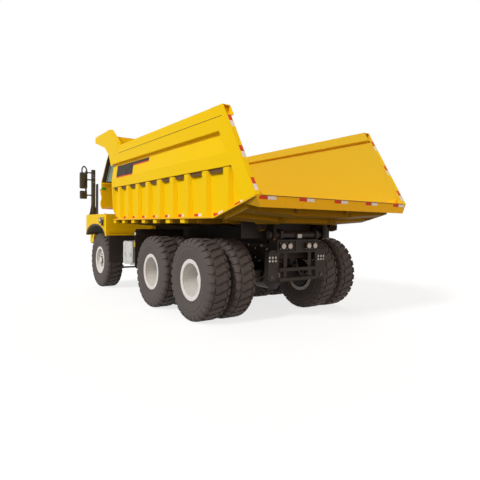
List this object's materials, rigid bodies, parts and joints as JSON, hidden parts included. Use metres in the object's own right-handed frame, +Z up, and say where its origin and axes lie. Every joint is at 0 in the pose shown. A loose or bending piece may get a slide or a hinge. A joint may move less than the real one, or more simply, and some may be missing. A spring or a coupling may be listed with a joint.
{
  "type": "mining dump truck",
  "caption": "Three-axle rigid mining dump truck with an end-tipping rock body, canopy over an offset cab, dual rear wheels, steering, hoist and opening door.",
  "frame": {"origin": "on the ground at the middle of the truck's length and width", "axes": "+X forward, +Y to the truck's left, +Z up"},
  "size_m": [8.25, 4.23, 4.12],
  "materials": {
    "body_yellow": "satin",
    "frame_black": "matte",
    "steel_dark": "satin",
    "rim_white": "satin",
    "tyre_rubber": "matte",
    "tank_silver": "satin",
    "rod_chrome": "polished",
    "cab_glass": "clear",
    "trim_black": "matte",
    "lamp_clear": "gloss"
  },
  "bodies": {
    "chassis": {"chassis_frame": "frame_black", "rear_panel": "frame_black", "front_axle_beam": "frame_black", "drive_axles": "frame_black", "leaf_springs": "steel_dark", "torque_rods": "steel_dark", "engine_block": "steel_dark", "driveline": "steel_dark", "side_tanks": "tank_silver", "mudguards": "frame_black", "front_deck": "body_yellow", "front_fenders": "body_yellow", "bumper": "body_yellow", "boarding_steps": "frame_black", "hood": "body_yellow", "grille": "frame_black", "intake_stack": "frame_black", "deck_rails": "frame_black", "cab_shell": "body_yellow", "cab_glass": "cab_glass", "driver_seat": "trim_black", "dashboard": "trim_black", "mirrors": "frame_black", "lamps": "lamp_clear"},
    "tipping_body": {"bed_floor": "body_yellow", "bed_beams": "body_yellow", "bed_wall_left": "body_yellow", "bed_wall_right": "body_yellow", "headboard": "body_yellow"},
    "hoist_barrel_pair": {"hoist_barrels": "steel_dark"},
    "hoist_rod_pair": {"hoist_rods": "rod_chrome"},
    "left_knuckle": {"knuckle_left": "steel_dark"},
    "right_knuckle": {"knuckle_right": "steel_dark"},
    "track_rod": {"tie_rod": "steel_dark"},
    "left_door": {"cab_door": "body_yellow", "door_glass": "cab_glass"},
    "wheel_front_left": {"tyre_front_left": "tyre_rubber", "rim_front_left": "rim_white"},
    "wheel_front_right": {"tyre_front_right": "tyre_rubber", "rim_front_right": "rim_white"},
    "wheel_middle_left": {"tyres_middle_left": "tyre_rubber", "rims_middle_left": "rim_white"},
    "wheel_middle_right": {"tyres_middle_right": "tyre_rubber", "rims_middle_right": "rim_white"},
    "wheel_rear_left": {"tyres_rear_left": "tyre_rubber", "rims_rear_left": "rim_white"},
    "wheel_rear_right": {"tyres_rear_right": "tyre_rubber", "rims_rear_right": "rim_white"}
  },
  "joints": [
    {"name": "body_tip", "type": "hinge", "parent": "chassis", "child": "tipping_body", "pos_m": [-3.075, 0, 1.57], "axis": [0, -1, 0], "range_deg": [0, 45]},
    {"name": "hoist_swing", "type": "hinge", "parent": "chassis", "child": "hoist_barrel_pair", "pos_m": [-1.925, 0, 0.95], "axis": [0, -1, 0], "range_deg": [0, 49.71]},
    {"name": "hoist_extend", "type": "slide", "parent": "hoist_barrel_pair", "child": "hoist_rod_pair", "axis": [0.8944, 0, 0.4472], "range_m": [0, 0.98481]},
    {"name": "steer_left", "type": "hinge", "parent": "chassis", "child": "left_knuckle", "pos_m": [3.113, 1.13, 0.745], "axis": [0, 0, 1], "range_deg": [-30, 30]},
    {"name": "steer_right", "type": "hinge", "parent": "chassis", "child": "right_knuckle", "pos_m": [3.113, -1.13, 0.745], "axis": [0, 0, 1], "range_deg": [-30, 30]},
    {"name": "track_rod_pivot", "type": "hinge", "parent": "left_knuckle", "child": "track_rod", "pos_m": [2.783, 1.13, 0.541], "axis": [0, 0, 1], "range_deg": [-30, 30]},
    {"name": "door_swing", "type": "hinge", "parent": "chassis", "child": "left_door", "pos_m": [3.58921, 1.46989, 2.5], "axis": [0, 0, -1], "range_deg": [0, 70]},
    {"name": "spin_front_left", "type": "hinge", "parent": "left_knuckle", "child": "wheel_front_left", "pos_m": [3.113, 1.456, 0.745], "axis": [0, 1, 0], "continuous": true},
    {"name": "spin_front_right", "type": "hinge", "parent": "right_knuckle", "child": "wheel_front_right", "pos_m": [3.113, -1.456, 0.745], "axis": [0, 1, 0], "continuous": true},
    {"name": "spin_middle_left", "type": "hinge", "parent": "chassis", "child": "wheel_middle_left", "pos_m": [-0.547, 1.314, 0.745], "axis": [0, 1, 0], "continuous": true},
    {"name": "spin_middle_right", "type": "hinge", "parent": "chassis", "child": "wheel_middle_right", "pos_m": [-0.547, -1.314, 0.745], "axis": [0, 1, 0], "continuous": true},
    {"name": "spin_rear_left", "type": "hinge", "parent": "chassis", "child": "wheel_rear_left", "pos_m": [-2.225, 1.314, 0.745], "axis": [0, 1, 0], "continuous": true},
    {"name": "spin_rear_right", "type": "hinge", "parent": "chassis", "child": "wheel_rear_right", "pos_m": [-2.225, -1.314, 0.745], "axis": [0, 1, 0], "continuous": true}
  ],
  "couplings": [
    {"joint": "hoist_swing", "follows": "body_tip", "ratio": 1.1045},
    {"joint": "hoist_extend", "follows": "body_tip", "m_per_rad": 1.2539},
    {"joint": "steer_right", "follows": "steer_left", "ratio": 1},
    {"joint": "track_rod_pivot", "follows": "steer_left", "ratio": -1}
  ]
}
